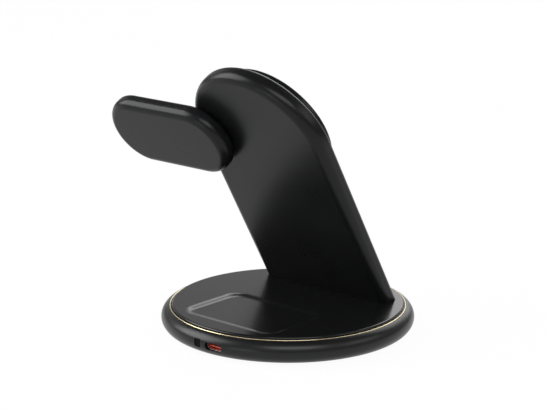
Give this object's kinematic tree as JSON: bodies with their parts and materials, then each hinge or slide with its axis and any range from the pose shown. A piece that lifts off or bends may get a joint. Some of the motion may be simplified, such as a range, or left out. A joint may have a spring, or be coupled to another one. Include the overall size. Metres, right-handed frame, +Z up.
{
  "type": "wireless charging stand",
  "caption": "Wireless charging stand: round base with an earbud tray and trim ring, leaning board with a round phone pad, and a swivelling watch arm behind it.",
  "frame": {"origin": "on the table, under the middle of the round base", "axes": "+Z up, the phone pad faces -Y, the watch arm reaches towards +X"},
  "size_m": [0.1469, 0.12, 0.1296],
  "materials": {
    "black_shell": "satin moulded",
    "black_inlay": "fine satin",
    "soft_pad": "matt silicone",
    "gold_trim": "polished pale gold",
    "steel": "plain",
    "socket_shell": "drawn",
    "socket_tongue": "red-orange moulded",
    "button_black": "gloss",
    "circuit": "solder mask",
    "component": "plain",
    "copper_coil": "wound litz wire",
    "ferrite": "sintered",
    "magnet": "nickel plated"
  },
  "bodies": {
    "base": {"base_shell": "black_shell", "base_inlay": "black_inlay", "gold_trim_ring": "gold_trim", "bottom_plate": "black_shell", "foot_pad": "soft_pad", "ballast_plate": "steel", "base_screws": "steel", "main_board": "circuit", "board_components": "component", "button_switch": "component", "usb_c_shell": "socket_shell", "usb_c_tongue": "socket_tongue", "earbud_coil": "copper_coil", "earbud_ferrite": "ferrite", "stand_rear_shell": "black_shell", "stand_front_cover": "black_shell", "stand_clamp_plate": "steel", "stand_foot_screws": "steel", "stand_cover_screws": "steel", "phone_board": "circuit", "phone_pad_housing": "black_shell", "phone_pad_face": "soft_pad", "phone_ferrite": "ferrite", "phone_coil": "copper_coil", "phone_magnets": "magnet", "pivot_bush": "component", "pivot_washer": "steel"},
    "watch_arm": {"arm_rear_shell": "black_shell", "arm_front_shell": "black_shell", "arm_neck": "black_shell", "pivot_spindle": "steel", "pivot_nut": "steel", "watch_pad_ring": "black_shell", "watch_pad_face": "soft_pad", "watch_coil": "copper_coil", "watch_magnet": "magnet", "watch_ferrite": "ferrite", "watch_board": "circuit"},
    "light_button": {"light_button": "button_black"}
  },
  "joints": [
    {"name": "watch_arm_swivel", "type": "hinge", "parent": "base", "child": "watch_arm", "pos_m": [0.0253, 0.02102, 0.09372], "axis": [0, 0.8634, -0.5045], "range_deg": [0, 180]},
    {"name": "light_button_press", "type": "slide", "parent": "base", "child": "light_button", "axis": [0, -1, 0], "range_m": [0, 0.0005], "stiffness_N_per_m": 2000}
  ]
}
